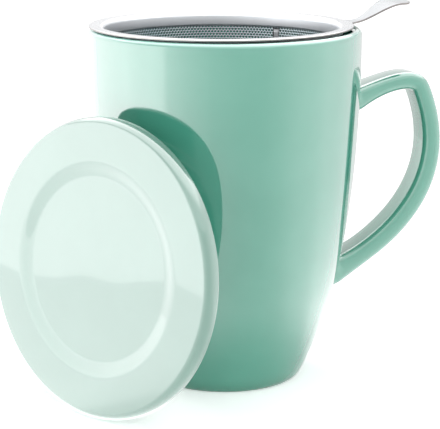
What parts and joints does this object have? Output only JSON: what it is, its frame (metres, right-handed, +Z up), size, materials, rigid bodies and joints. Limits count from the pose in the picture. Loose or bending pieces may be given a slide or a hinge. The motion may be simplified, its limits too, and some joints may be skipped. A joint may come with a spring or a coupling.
{
  "type": "lidded tea mug",
  "caption": "Tall glazed mug with an ear handle, a lift-out perforated steel infuser with a thumb tab, and a loose round lid leaning against its wall.",
  "frame": {"origin": "centre of the foot ring's flat face, on the table", "axes": "+Z up the mug's axis; +X to the side with the handle, which bears 13 degrees from +X towards +Y; the lid leans at the front left, facing 131 degrees from +X towards -Y"},
  "size_m": [0.1453, 0.1192, 0.1224],
  "materials": {
    "green_glaze": "gloss",
    "green_glaze_handle": "gloss",
    "polished_steel": "gloss",
    "perforated_steel": "satin",
    "perforated_steel_floor": "satin",
    "green_glaze_lid": "gloss"
  },
  "bodies": {
    "mug": {"mug_body": "green_glaze", "mug_handle": "green_glaze_handle"},
    "infuser": {"infuser_rim": "polished_steel", "infuser_sleeve": "perforated_steel", "infuser_floor": "perforated_steel_floor"},
    "lid": {"lid": "green_glaze_lid"}
  },
  "joints": [
    {"name": "infuser_lift", "type": "slide", "parent": "mug", "child": "infuser", "axis": [0, 0, 1], "range_m": [0, 0.09]},
    {"name": "lid_lift", "type": "slide", "parent": "mug", "child": "lid", "axis": [-0.328, -0.3774, 0.866], "range_m": [0, 0.14]}
  ]
}
